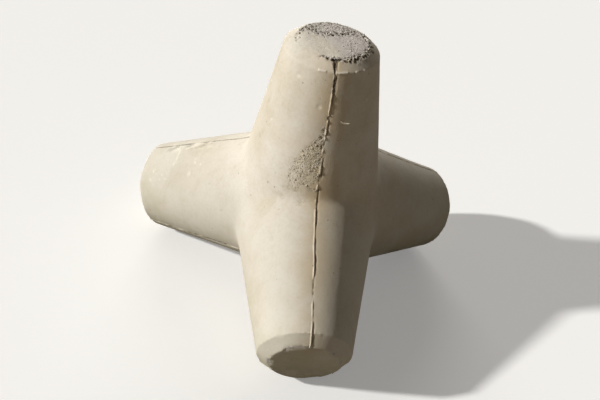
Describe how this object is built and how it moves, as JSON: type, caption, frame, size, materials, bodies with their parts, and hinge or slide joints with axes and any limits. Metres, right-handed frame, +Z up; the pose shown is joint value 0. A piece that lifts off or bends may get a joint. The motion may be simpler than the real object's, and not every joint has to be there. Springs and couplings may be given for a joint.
{
  "type": "concrete tetrapod",
  "caption": "Mass concrete breakwater armour unit: tapered round legs point to the corners of a tetrahedron, with chamfered ends, rounded creases between legs and thin mould-seam fins.",
  "frame": {"origin": "centre of the body, where the axes of the four legs meet; it is also the centre of mass", "axes": "+Z up along the axis of the upright leg; -Y is the direction, seen from above, of one of the three lower legs; the others lie 120 degrees to either side of it; the floor is at z = -0.742 m"},
  "size_m": [2.4886, 2.2558, 2.0925],
  "materials": {
    "concrete": "matte, rough-cast, weathered"
  },
  "bodies": {
    "root": {"tetrapod": "concrete"}
  },
  "joints": []
}
